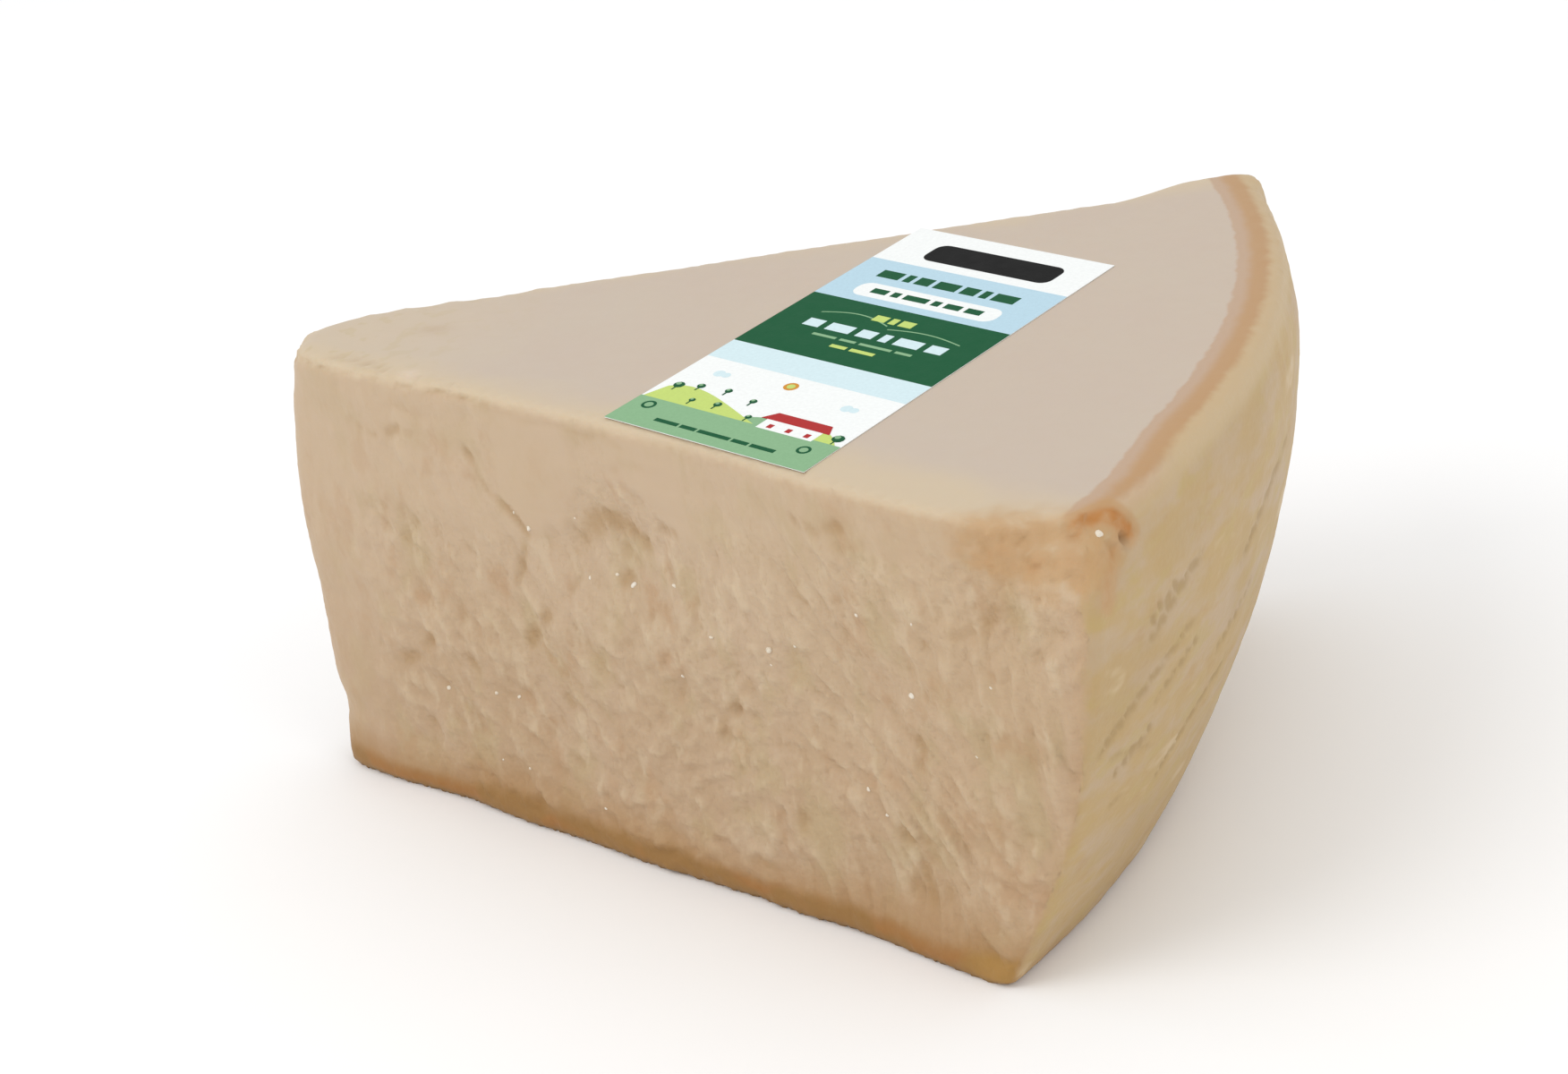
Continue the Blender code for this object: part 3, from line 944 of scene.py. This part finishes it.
def rind_skin(cheese, look, colour):
    """The rind's outside: tan with yellow and rusty streaks, with painted shade in the mould's marks and a
    painted highlight along its top shoulder.
    """
    slanted = cheese.stretched(cheese.place, (0.35, 0.0, 0.0), (1.0, 0.35, 1.0))
    blotch = cheese.noise(slanted, 0.010, 3.0, 0.6)
    skin = cheese.mix(cheese.step(0.42, 0.62, blotch), rgba(look.rind_colour), PINKISH_SKIN)
    yellow = cheese.step(0.50, 0.66, cheese.noise(slanted, 0.0048, 3.0, 0.6))
    skin = cheese.mix(cheese.share(yellow, 0.55), skin, YELLOW_SKIN)
    rusty = cheese.step(0.58, 0.72, cheese.noise(slanted, 0.0045, 3.0, 0.6))
    skin = cheese.mix(cheese.share(rusty, 0.45), skin, RUSTY_SKIN)
    shade = cheese.step(0.42, 0.66, cheese.noise(slanted, 0.016, 2.0))
    skin = cheese.mix(cheese.share(shade, 0.42), skin, SHADED_SKIN)
    skin = cheese.mix(cheese.step(0.40, 0.26, blotch), skin, LIGHT_SKIN)
    # Painted shade in the mould's marks and pricks
    skin = cheese.mix(cheese.hollow_shade, skin, SUNK_SKIN_SHADE)
    # Painted highlight along the top shoulder of the rind
    skin = cheese.mix(cheese.step(0.088, 0.094, cheese.wheel["level"]), skin, SHOULDER_HIGHLIGHT)
    rim = cheese.step(HEIGHT - 0.0016, HEIGHT - 0.0052, cheese.wheel["level"])
    return cheese.mix(cheese.math("MULTIPLY", cheese.heel, rim), colour, skin)


def dried_base(cheese, look, colour):
    """The dried brown rind along the base, its darkness partly painted shade; darker above it towards the
    base, orange in places, with painted shade right along the base's edge.
    """
    lifted = cheese.math("MULTIPLY_ADD", cheese.wavy, 0.6, cheese.wheel["level"])
    off_heel = cheese.math("MULTIPLY_ADD", cheese.heel, -0.92, 1.0)
    # Darker towards the base
    haze = cheese.math("MULTIPLY", cheese.step(0.0165, 0.0045, lifted), off_heel)
    colour = cheese.mix(cheese.share(haze, 0.75), colour, DARKER_TOWARDS_BASE)
    # The dried rind band: real rind, its darkness partly painted shade
    dried = cheese.mix(cheese.step(0.180, 0.191, cheese.wheel["radius"]), DRIED, DRIED_CORNER)
    band = cheese.step(0.0076, 0.0036, cheese.math("ADD", lifted, cheese.wispy))
    band = cheese.math("MULTIPLY", band, off_heel)
    colour = cheese.mix(cheese.share(band, 0.92), colour, dried)
    seam = cheese.math("MULTIPLY", cheese.step(0.0012, 0.0034, lifted), cheese.step(0.38, 0.60, cheese.broad))
    colour = cheese.mix(cheese.share(cheese.math("MULTIPLY", seam, band), 0.60), colour, ORANGE_SEAM)
    # Painted shade right along the base's edge, where it meets the floor
    brown = cheese.math("MULTIPLY", cheese.step(0.0022, 0.0005, cheese.wheel["level"]), off_heel)
    return cheese.mix(cheese.share(brown, 0.35), colour, rgba(look.base_shade_colour))


def broken_corner(cheese, look, colour):
    """The corner where the rind broke: tan round it, orange within, and painted shade in its pit."""
    colour = cheese.mix(cheese.share(cheese.step(0.06, 0.34, cheese.chip), 0.75), colour, TAN_CHIP)
    orange = cheese.share(cheese.step(0.32, 1.00, cheese.chip), 0.95)
    colour = cheese.mix(orange, colour, rgba(look.chip_colour))
    # Painted shade in the pit
    return cheese.mix(cheese.share(cheese.pit, 0.9), colour, PIT_SHADE)


def cheese_material(look):
    """Paste, rind and dried edges, blended by place and by the masks that the surface carries."""
    material, _, principled = new_material("cheese_finish", 0.55)
    cheese = CheeseShader(material.node_tree)
    colour = cheese.mix(cheese.top, split_paste(cheese, look), cut_top(cheese, look))
    for layer in (stains_and_edges, cut_rind, rind_skin, dried_base, broken_corner):
        colour = layer(cheese, look, colour)
    cheese.feed(principled.inputs["Base Color"], colour)

    dull = cheese.math("MULTIPLY_ADD", cheese.rough, 0.16, 0.50)
    cheese.feed(principled.inputs["Roughness"], cheese.math("MULTIPLY_ADD", cheese.fine, 0.08, dull))
    smooth_grit = cheese.math("MULTIPLY_ADD", cheese.heel, 0.3, 0.12)
    amount = cheese.math("MULTIPLY_ADD", cheese.rough, 0.85, smooth_grit)
    grit = cheese.group(grit_group(), vector=cheese.place, grain_size=0.0013, amount=amount)
    cheese.feed(principled.inputs["Normal"], cheese.bump(grit.outputs["Height"], 0.00017))
    principled.inputs["Subsurface Weight"].default_value = 0.10
    principled.inputs["Subsurface Radius"].default_value = (1.0, 0.6, 0.3)
    principled.inputs["Subsurface Scale"].default_value = 0.003
    principled.inputs["Specular IOR Level"].default_value = 0.35
    return material


def crystal_material():
    """White amino crystals, a little glassy."""
    material, shader, principled = new_material("crystal_finish", 0.35)
    place = shader.position()
    mottle = shader.group(mottle_group(), vector=place, patch_size=0.002, contrast=1.6)
    colour = shader.mix(mottle.outputs["Broad"], CLEAR_CRYSTAL, CLOUDY_CRYSTAL)
    shader.feed(principled.inputs["Base Color"], colour)
    grit = shader.group(grit_group(), vector=place, grain_size=0.0004, amount=1.0)
    shader.feed(principled.inputs["Normal"], shader.bump(grit.outputs["Height"], 0.00005))
    return material


# ---------------------------------------------------------------- the crystals

# Crystals on the front face that stand out: distance from the wheel's axis, height, width
FRONT_CRYSTALS = (
    (0.0888, 0.0691, 0.0013),
    (0.0850, 0.0715, 0.0009),
    (0.1119, 0.0608, 0.0013),
    (0.1085, 0.0625, 0.0008),
    (0.1468, 0.0566, 0.0019),
    (0.1659, 0.0328, 0.0010),
    (0.1693, 0.0283, 0.0010),
    (0.1795, 0.0554, 0.0013),
    (0.1710, 0.0699, 0.0011),
    (0.1330, 0.0560, 0.0008),
    (0.0560, 0.0270, 0.0011),
    (0.0700, 0.0290, 0.0009),
    (0.2178, 0.0908, 0.0016),
)
# The others, on both split faces: how many, and where and how wide they may be
SCATTERED_CRYSTALS = 26
SCATTER_ALONG = (0.06, 0.20)
SCATTER_LEVEL = (0.010, 0.074)
SCATTER_WIDTH = (0.0005, 0.0010)
CRYSTAL_SQUASH = (1.0, 0.75, 0.6)
SEED = 7


def face_hit(tree, side, along, level):
    """Point and outward normal of a split face at a distance from the wheel's axis and a height."""
    out = cut_direction(side)
    start = WHEEL_AXIS + plan_direction(side * HALF_ANGLE) * along + Vector((0, 0, level)) + out * 0.05
    point, normal, _, _ = tree.ray_cast(start, -out)
    return point, normal


def add_crystal(bm, point, normal, width, dice):
    """An uneven lump sunk halfway into the surface."""
    turn = normal.to_track_quat("Z", "Y") @ Quaternion((0, 0, 1), dice.uniform(0, math.tau))
    size = Matrix.Diagonal((*(width / 2 * share for share in CRYSTAL_SQUASH), 1.0))
    place = Matrix.Translation(point - normal * width * 0.05) @ turn.to_matrix().to_4x4() @ size
    made = bmesh.ops.create_icosphere(bm, subdivisions=2, radius=1.0, matrix=place)
    for vertex in made["verts"]:
        shift = noise.noise(vertex.co / (0.6 * width)) * 0.22 * width
        vertex.co += (vertex.co - point).normalized() * shift


def build_crystals(cheese):
    graph = bpy.context.evaluated_depsgraph_get()
    tree = BVHTree.FromObject(cheese, graph)
    dice = random.Random(SEED)
    bm = bmesh.new()
    for along, level, width in FRONT_CRYSTALS:
        add_crystal(bm, *face_hit(tree, -1, along, level), width, dice)
    for i in range(SCATTERED_CRYSTALS):
        side = -1 if i % 2 else 1
        along = dice.uniform(*SCATTER_ALONG)
        level = dice.uniform(*SCATTER_LEVEL)
        width = dice.uniform(*SCATTER_WIDTH)
        add_crystal(bm, *face_hit(tree, side, along, level), width, dice)
    crystals = mesh_object("crystals", bm, (crystal_material(),))
    crystals.data.shade_smooth()
    return crystals


# ---------------------------------------------------------------- the label

# The label's middle, its size and the directions of its long and slanted short sides
LABEL_CENTRE = WHEEL_AXIS + Vector((0.1437, -0.0043, 0.0))
LABEL_LENGTH = 0.1028
LABEL_WIDTH = 0.0509
LABEL_ALONG = plan_direction(math.radians(71.2)) * LABEL_LENGTH
LABEL_ACROSS = plan_direction(math.radians(-27.4)) * LABEL_WIDTH
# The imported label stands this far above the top; the sheet lies closer
LABEL_GAP = 0.0003
SHEET_CLEARANCE = 0.00005


def label_point(across, along, level):
    """A point of the label, where across and along run from 0 to 1 from its near left corner."""
    flat = LABEL_CENTRE + LABEL_ACROSS * (across - 0.5) + LABEL_ALONG * (along - 0.5)
    return Vector((flat.x, flat.y, level))


def add_slab(bm, outline, low, high, ink):
    """A thin slab of paper or ink with the given outline in the label's shares."""
    lower = [bm.verts.new(label_point(x, y, low)) for x, y in outline]
    upper = [bm.verts.new(label_point(x, y, high)) for x, y in outline]
    faces = [bm.faces.new(lower[::-1]), bm.faces.new(upper)]
    for i in range(len(outline)):
        faces.append(bm.faces.new((lower[i - 1], lower[i], upper[i], upper[i - 1])))
    for face in faces:
        face.material_index = ink


def rectangle(left, right, low, high):
    return ((left, low), (right, low), (right, high), (left, high))


def rounded(left, right, low, high, radius, steps=5):
    """A rectangle with round corners; radius is a share of the label's width."""
    tall = radius * LABEL_WIDTH / LABEL_LENGTH
    left, right, low, high = left + radius, right - radius, low + tall, high - tall
    points = []
    for x, y, start in ((right, low, -90), (right, high, 0), (left, high, 90), (left, low, 180)):
        for i in range(steps + 1):
            turn = math.radians(start + 90 * i / steps)
            points.append((x + radius * math.cos(turn), y + tall * math.sin(turn)))
    return tuple(points)


def disc(x, y, radius, steps=16):
    tall = radius * LABEL_WIDTH / LABEL_LENGTH
    turns = [math.tau * i / steps for i in range(steps)]
    return tuple((x + radius * math.cos(turn), y + tall * math.sin(turn)) for turn in turns)


def hill(left, right, foot, crest, lean=0.5, steps=14):
    """A field whose upper side is one rounded hill; lean is the share of its width at which it is highest."""
    points = [(left, foot), (right, foot)]
    power = math.log(0.5) / math.log(lean)
    for i in range(steps + 1):
        share = 1 - i / steps
        rise = math.sin(math.pi * share**power)
        points.append((left + (right - left) * share, foot + 0.004 + (crest - foot) * rise))
    return tuple(points)


def bow(left, right, foot, rise, width, steps=14):
    """A thin arched line."""
    shares = [i / steps for i in range(steps + 1)]
    arch = [(left + (right - left) * s, foot + rise * math.sin(math.pi * s)) for s in shares]
    return tuple(arch) + tuple((x, y + width) for x, y in reversed(arch))


def dashes(left, right, low, high, lengths, gap):
    """A row of plain bars that fills a line from left to right."""
    free = (right - left) - gap * (len(lengths) - 1)
    unit = free / sum(lengths)
    bars = []
    for length in lengths:
        bars.append(rectangle(left, left + unit * length, low, high))
        left += unit * length + gap
    return bars


INKS = ("paper", "pale_blue", "mist", "dark_green", "light_green", "lime", "black", "red", "orange")


# Rows of plain bars: layer, ink, left, right, low, high, lengths of the bars, gap between them
PRINTED_LINES = (
    (2, "dark_green", 0.14, 0.84, 0.752, 0.786, (3, 1, 2, 3, 2, 1, 3), 0.022),
    (3, "lime", 0.40, 0.60, 0.572, 0.597, (2, 1, 2), 0.018),
    (3, "mist", 0.16, 0.86, 0.498, 0.530, (2, 3, 2, 1, 3, 2), 0.034),
    (2, "light_green", 0.26, 0.76, 0.468, 0.477, (3, 2, 4, 2), 0.02),
    (2, "lime", 0.40, 0.62, 0.437, 0.449, (2, 3), 0.02),
    (3, "dark_green", 0.22, 0.78, 0.680, 0.702, (2, 1, 3, 1, 2, 2), 0.024),
    (6, "dark_green", 0.20, 0.80, 0.030, 0.042, (3, 2, 4, 2, 3), 0.012),
)
# Round trees of the landscape: place across and along, size of the crown
TREES = (
    (0.08, 0.160, 0.024),
    (0.17, 0.178, 0.018),
    (0.30, 0.186, 0.016),
    (0.45, 0.172, 0.016),
    (0.34, 0.130, 0.018),
    (0.95, 0.118, 0.026),
    (0.22, 0.125, 0.014),
    (0.52, 0.118, 0.014),
)


def label_print():
    """Every printed shape: layer, ink, outline. Shapes that overlap are on different layers."""
    shapes = [
        (1, "pale_blue", rectangle(0, 1, 0.635, 0.83)),
        (1, "dark_green", rectangle(0, 1, 0.38, 0.635)),
        (1, "mist", rectangle(0, 1, 0.30, 0.38)),
        (2, "black", rounded(0.20, 0.85, 0.862, 0.945, 0.05)),
        (2, "paper", rounded(0.14, 0.86, 0.660, 0.722, 0.052)),
        (2, "light_green", bow(0.16, 0.50, 0.560, 0.022, 0.0035)),
        (2, "light_green", bow(0.52, 0.88, 0.548, 0.014, 0.0035)),
        (2, "light_green", hill(0.30, 1.0, 0.085, 0.150, 0.62)),
        (3, "lime", hill(-0.001, 0.66, 0.085, 0.172, 0.22)),
        (4, "lime", hill(0.72, 1.0, 0.085, 0.138, 0.5)),
        (5, "light_green", rectangle(0, 1, 0, 0.105)),
        (2, "orange", disc(0.50, 0.262, 0.032)),
        (3, "lime", disc(0.50, 0.262, 0.018)),
        (6, "paper", rectangle(0.60, 0.87, 0.098, 0.138)),
        (7, "red", ((0.57, 0.134), (0.90, 0.134), (0.87, 0.163), (0.61, 0.163))),
    ]
    for layer, ink, *line in PRINTED_LINES:
        shapes += [(layer, ink, bar) for bar in dashes(*line)]
    for x, y, size in TREES:
        shapes.append((6, "dark_green", rectangle(x - 0.003, x + 0.003, y - 0.012, y + 0.002)))
        shapes.append((7, "dark_green", disc(x, y + 0.45 * size, size, 10)))
        shapes.append((8, "light_green", disc(x - 0.3 * size, y + 0.6 * size, 0.5 * size, 10)))
    for x, y in ((0.16, 0.245), (0.82, 0.235)):
        shapes.append((2, "mist", disc(x, y, 0.026, 10)))
        shapes.append((3, "mist", disc(x + 0.035, y, 0.020, 10)))
    for x in (0.65, 0.74, 0.83):
        shapes.append((8, "red", rectangle(x - 0.012, x + 0.012, 0.105, 0.119)))
    for x, y, size in ((0.09, 0.078, 0.032), (0.89, 0.066, 0.030)):
        shapes.append((6, "dark_green", disc(x, y, size, 14)))
        shapes.append((7, "light_green", disc(x, y, 0.6 * size, 14)))
    return shapes


def paper_material(name, colour, gloss):
    """Coated paper or ink on it: fine fibres, slightly uneven tone."""
    material, shader, principled = new_material(name, gloss)
    place = shader.position()
    mottle = shader.group(mottle_group(), vector=place, patch_size=0.003, contrast=1.4)
    darker = [channel * 0.90 for channel in colour]
    tone = shader.mix(mottle.outputs["Fine"], rgba(colour), rgba(darker))
    dull = shader.math("MULTIPLY_ADD", mottle.outputs["Broad"], 0.12, gloss - 0.06)
    shader.feed(principled.inputs["Base Color"], tone)
    shader.feed(principled.inputs["Roughness"], dull)
    grit = shader.group(grit_group(), vector=place, grain_size=0.0005, amount=0.6)
    shader.feed(principled.inputs["Normal"], shader.bump(grit.outputs["Height"], 0.00002))
    principled.inputs["Specular IOR Level"].default_value = 0.02
    return material


def build_label(look):
    floor = LABEL_FOOT - LABEL_GAP + SHEET_CLEARANCE
    sheet = bmesh.new()
    top = floor + look.sheet_thickness
    add_slab(sheet, rectangle(0, 1, 0, 1), floor, top, 0)
    paper = paper_material("label_paper_finish", look.paper, 0.55)
    pieces = [mesh_object("label_sheet", sheet, (paper,))]
    inks = [paper_material(f"ink_{ink}", getattr(look, ink), 0.50) for ink in INKS]
    ink_mesh = bmesh.new()
    for layer, ink, outline in label_print():
        low = top + 0.2 * look.ink_thickness
        add_slab(ink_mesh, outline, low, top + look.ink_thickness * layer, INKS.index(ink))
    pieces.append(mesh_object("label_ink", ink_mesh, inks))
    return pieces


# ---------------------------------------------------------------- the stage


def build_floor(look):
    bm = bmesh.new()
    bmesh.ops.create_grid(bm, x_segments=1, y_segments=1, size=look.floor_size / 2)
    material, shader, principled = new_material("floor_finish", 0.9)
    mottle = shader.group(mottle_group(), vector=shader.position(), patch_size=0.4, contrast=0.6)
    shade = [channel * 0.985 for channel in look.floor_colour]
    colour = shader.mix(mottle.outputs["Broad"], rgba(look.floor_colour), rgba(shade))
    shader.feed(principled.inputs["Base Color"], colour)
    principled.inputs["Specular IOR Level"].default_value = 0.0
    return mesh_object("floor", bm, (material,))


# What the lights and the camera aim at
LIGHT_AIM = Vector((0.0, 0.0, 0.05))
CAMERA_AIM = WHEEL_AXIS + Vector((0.11861, 0.00351, 0.05))
KEY_PLACE = Vector((-0.8, -1.0, 1.5))
KEY_SIZE = 1.1
FILL_PLACE = Vector((1.4, -0.6, 1.0))
FILL_SIZE = 1.4
FILL_SHARE = 0.4


def add_light(name, place, power, size):
    data = bpy.data.lights.new(name, "AREA")
    data.energy = power
    data.shape = "DISK"
    data.size = size
    light = link_object(bpy.data.objects.new(name, data))
    light.location = place
    light.rotation_euler = (LIGHT_AIM - place).to_track_quat("-Z", "Y").to_euler()
    return light


def build_sky(strength):
    world = bpy.data.worlds.new("studio")
    world.use_nodes = True
    background = world.node_tree.nodes["Background"]
    background.inputs["Color"].default_value = (1.0, 1.0, 1.0, 1.0)
    background.inputs["Strength"].default_value = strength
    bpy.context.scene.world = world


def build_camera(look):
    """The camera, aimed at the chunk's middle."""
    level = plan_direction(math.pi / 2 + look.camera_turn)
    ahead = level * math.cos(look.camera_rise) - Vector((0, 0, math.sin(look.camera_rise)))
    data = bpy.data.cameras.new("camera")
    data.sensor_width = 36.0
    data.lens = look.camera_lens
    data.clip_start = 0.01
    camera = link_object(bpy.data.objects.new("camera", data))
    camera.location = CAMERA_AIM - ahead * look.camera_distance
    turn = ahead.to_track_quat("-Z", "Y") @ Quaternion((0, 0, 1), look.camera_roll)
    camera.rotation_euler = turn.to_euler()
    bpy.context.scene.camera = camera


# ---------------------------------------------------------------- operators and panel


class CHEESE_OT_chunk(bpy.types.Operator):
    """Make the cheese with its smooth top, split faces and rind"""

    bl_idname = "cheese.chunk"
    bl_label = "Cheese Chunk"

    def execute(self, context):
        look = context.scene.cheese_look
        chunk = remesh(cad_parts["cheese"], "cheese_chunk", look.mesh_step)
        shape_cheese(chunk.data, look)
        chunk.data.materials.append(cheese_material(look))
        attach(chunk, "root")
        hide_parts("cheese")
        return {"FINISHED"}


class CHEESE_OT_crystals(bpy.types.Operator):
    """Set the white crystals into the split faces"""

    bl_idname = "cheese.crystals"
    bl_label = "Crystals"

    def execute(self, context):
        crystals = build_crystals(bpy.data.objects["cheese_chunk"])
        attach(crystals, "root")
        return {"FINISHED"}


class CHEESE_OT_label(bpy.types.Operator):
    """Lay the printed paper label on the top"""

    bl_idname = "cheese.label"
    bl_label = "Paper Label"

    def execute(self, context):
        for piece in build_label(context.scene.label_look):
            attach(piece, "root")
        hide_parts("label")
        return {"FINISHED"}


class CHEESE_OT_stage(bpy.types.Operator):
    """Set up the floor, the soft light and the camera"""

    bl_idname = "cheese.stage"
    bl_label = "Stage"

    def execute(self, context):
        look = context.scene.studio_look
        build_floor(look)
        build_sky(look.sky_strength)
        add_light("key", KEY_PLACE, look.key_power, KEY_SIZE)
        add_light("fill", FILL_PLACE, FILL_SHARE * look.key_power, FILL_SIZE)
        build_camera(look)
        context.scene.view_settings.view_transform = "Standard"
        return {"FINISHED"}


class CHEESE_PT_panel(bpy.types.Panel):
    """Cheese tools in the sidebar"""

    bl_idname = "CHEESE_PT_panel"
    bl_label = "Cheese Chunk"
    bl_space_type = "VIEW_3D"
    bl_region_type = "UI"
    bl_category = "Cheese"

    def draw(self, context):
        for name, look in LOOKS:
            box = self.layout.box()
            for setting in look.__annotations__:
                box.prop(getattr(context.scene, name), setting)
        for operator in OPERATORS:
            self.layout.operator(operator.bl_idname)


LOOKS = (("cheese_look", CheeseLook), ("label_look", LabelLook), ("studio_look", StudioLook))
OPERATORS = (CHEESE_OT_chunk, CHEESE_OT_crystals, CHEESE_OT_label, CHEESE_OT_stage)


def register():
    for name, look in LOOKS:
        bpy.utils.register_class(look)
        setattr(bpy.types.Scene, name, bpy.props.PointerProperty(type=look))
    for operator in OPERATORS:
        bpy.utils.register_class(operator)
    bpy.utils.register_class(CHEESE_PT_panel)


def unregister():
    bpy.utils.unregister_class(CHEESE_PT_panel)
    for operator in reversed(OPERATORS):
        bpy.utils.unregister_class(operator)
    for name, look in reversed(LOOKS):
        delattr(bpy.types.Scene, name)
        bpy.utils.unregister_class(look)


def main():
    register()
    bpy.ops.cheese.chunk()
    bpy.ops.cheese.crystals()
    bpy.ops.cheese.label()
    bpy.ops.cheese.stage()


if __name__ == "__main__":
    main()
